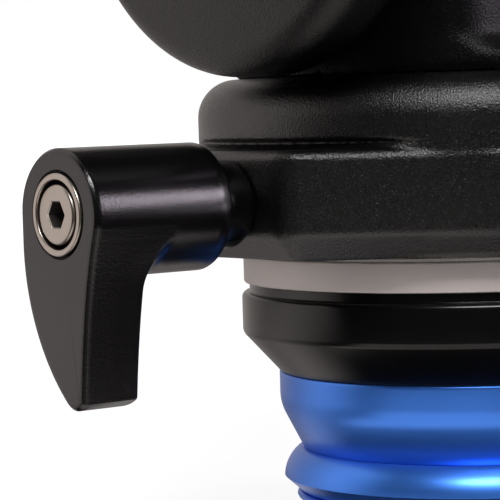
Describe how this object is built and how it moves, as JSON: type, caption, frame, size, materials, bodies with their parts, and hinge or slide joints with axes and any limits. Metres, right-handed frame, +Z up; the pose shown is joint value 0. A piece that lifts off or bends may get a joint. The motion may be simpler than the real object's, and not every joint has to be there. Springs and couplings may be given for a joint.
{
  "type": "fluid video head",
  "caption": "Compact two-axis fluid video head on a coloured riser, with indexing lock levers, sliding quick-release plate, level and pan handle.",
  "frame": {"origin": "centre of the mouth of the tripod socket, in the riser's flat foot", "axes": "+Z up along the pan axis, X along the tilt axis with the lock levers at -X and the handle at +X, lens towards +Y"},
  "size_m": [0.1379, 0.2515, 0.1427],
  "materials": {
    "black_coat": "black wrinkle powder coat on a casting",
    "black_anodised": "black anodised, fine bead blast",
    "blue_anodised": "blue anodised, turned",
    "steel": "satin turned steel",
    "brass": "machined bronze and brass",
    "white_plastic": "low-friction plastic",
    "rubber": "matt rubber",
    "level_glass": "clear vial with tinted liquid",
    "red_plastic": "moulded red plastic"
  },
  "bodies": {
    "base": {"riser_collar": "blue_anodised", "riser_cone": "blue_anodised", "riser_stud": "steel", "base_plate": "black_anodised", "pan_ring": "steel", "pan_spindle": "steel", "base_screws": "steel", "pan_washer": "white_plastic", "pan_rotor_discs": "steel", "pan_nut": "steel"},
    "pan_body": {"pan_housing": "black_coat", "pan_bush": "brass", "pan_stator_discs": "brass", "pan_brake_shoe": "brass", "pedestal": "black_coat", "pedestal_screws": "steel", "drum_end_cap": "black_anodised", "tilt_bush_left": "brass", "tilt_bush_right": "brass", "tilt_friction_plate": "brass", "tilt_stator_discs": "brass", "counterbalance_spring": "steel", "level_cup": "black_anodised", "level_vial": "level_glass"},
    "pan_lever_hub": {"pan_clamp_stud": "black_anodised", "pan_lever_screw": "steel", "pan_lever_spring": "steel"},
    "pan_lever_arm": {"pan_lever": "black_anodised", "pan_lever_bush": "steel"},
    "tilt_carriage": {"left_cheek": "black_coat", "right_cheek": "black_coat", "platform": "black_coat", "platform_screws": "steel", "tilt_shaft": "steel", "tilt_rotor_discs": "steel", "tilt_brake_shoe": "brass", "handle_rosette": "steel", "rosette_screws": "steel", "safety_spring": "steel"},
    "tilt_lever_hub": {"tilt_clamp_stud": "black_anodised", "tilt_lever_screw": "steel", "tilt_lever_spring": "steel"},
    "tilt_lever_arm": {"tilt_lever": "black_anodised", "tilt_lever_bush": "steel"},
    "jaw": {"clamp_jaw": "black_anodised"},
    "knob": {"plate_knob": "black_anodised", "plate_knob_screw": "steel"},
    "plate": {"quick_plate": "black_anodised", "plate_pads": "rubber"},
    "screw_slider": {"screw_washer": "steel"},
    "camera_stud": {"camera_screw": "steel"},
    "button": {"safety_button": "red_plastic"},
    "handle": {"handle_socket": "black_coat", "handle_tube": "black_anodised", "handle_grip": "rubber", "grip_cap": "black_anodised"},
    "handle_clamp": {"handle_knob": "black_anodised", "handle_bolt": "steel"}
  },
  "joints": [
    {"name": "pan", "type": "hinge", "parent": "base", "child": "pan_body", "pos_m": [0, 0, 0.045], "axis": [0, 0, 1], "continuous": true},
    {"name": "pan_lever_turn", "type": "hinge", "parent": "pan_body", "child": "pan_lever_hub", "pos_m": [-0.0402, 0, 0.0417], "axis": [-1, 0, 0], "range_deg": [0, 90]},
    {"name": "pan_lever_pull", "type": "slide", "parent": "pan_lever_hub", "child": "pan_lever_arm", "axis": [-1, 0, 0], "range_m": [0, 0.004], "stiffness_N_per_m": 1000, "springref_m": -0.002, "deforming": ["pan_lever_spring"]},
    {"name": "tilt", "type": "hinge", "parent": "pan_body", "child": "tilt_carriage", "pos_m": [0, 0, 0.0884], "axis": [1, 0, 0], "range_deg": [-90, 75]},
    {"name": "tilt_lever_turn", "type": "hinge", "parent": "tilt_carriage", "child": "tilt_lever_hub", "pos_m": [-0.0429, 0, 0.0884], "axis": [-1, 0, 0], "range_deg": [0, 90]},
    {"name": "tilt_lever_pull", "type": "slide", "parent": "tilt_lever_hub", "child": "tilt_lever_arm", "axis": [-1, 0, 0], "range_m": [0, 0.004], "stiffness_N_per_m": 1000, "springref_m": -0.002, "deforming": ["tilt_lever_spring"]},
    {"name": "jaw_slide", "type": "slide", "parent": "tilt_carriage", "child": "jaw", "axis": [-1, 0, 0], "range_m": [0, 0.0008]},
    {"name": "knob_turn", "type": "hinge", "parent": "jaw", "child": "knob", "pos_m": [-0.0425, 0, 0.1229], "axis": [-1, 0, 0], "range_deg": [0, 361]},
    {"name": "plate_slide", "type": "slide", "parent": "tilt_carriage", "child": "plate", "axis": [0, 1, 0], "range_m": [-0.015, 0.015]},
    {"name": "screw_slide", "type": "slide", "parent": "plate", "child": "screw_slider", "axis": [0, 1, 0], "range_m": [-0.014, 0.014]},
    {"name": "camera_screw_turn", "type": "hinge", "parent": "screw_slider", "child": "camera_stud", "pos_m": [0, 0, 0.1375], "axis": [0, 0, 1], "continuous": true},
    {"name": "button_press", "type": "slide", "parent": "tilt_carriage", "child": "button", "axis": [0, 1, 0], "range_m": [0, 0.0025], "stiffness_N_per_m": 800, "springref_m": -0.001, "deforming": ["safety_spring"]},
    {"name": "handle_swing", "type": "hinge", "parent": "tilt_carriage", "child": "handle", "pos_m": [0.0458, 0, 0.0884], "axis": [1, 0, 0], "continuous": true},
    {"name": "handle_knob_turn", "type": "hinge", "parent": "handle", "child": "handle_clamp", "pos_m": [0.055, 0, 0.0884], "axis": [1, 0, 0], "range_deg": [0, 540]}
  ],
  "couplings": [
    {"joint": "knob_turn", "follows": "jaw_slide", "rad_per_m": 7854}
  ]
}
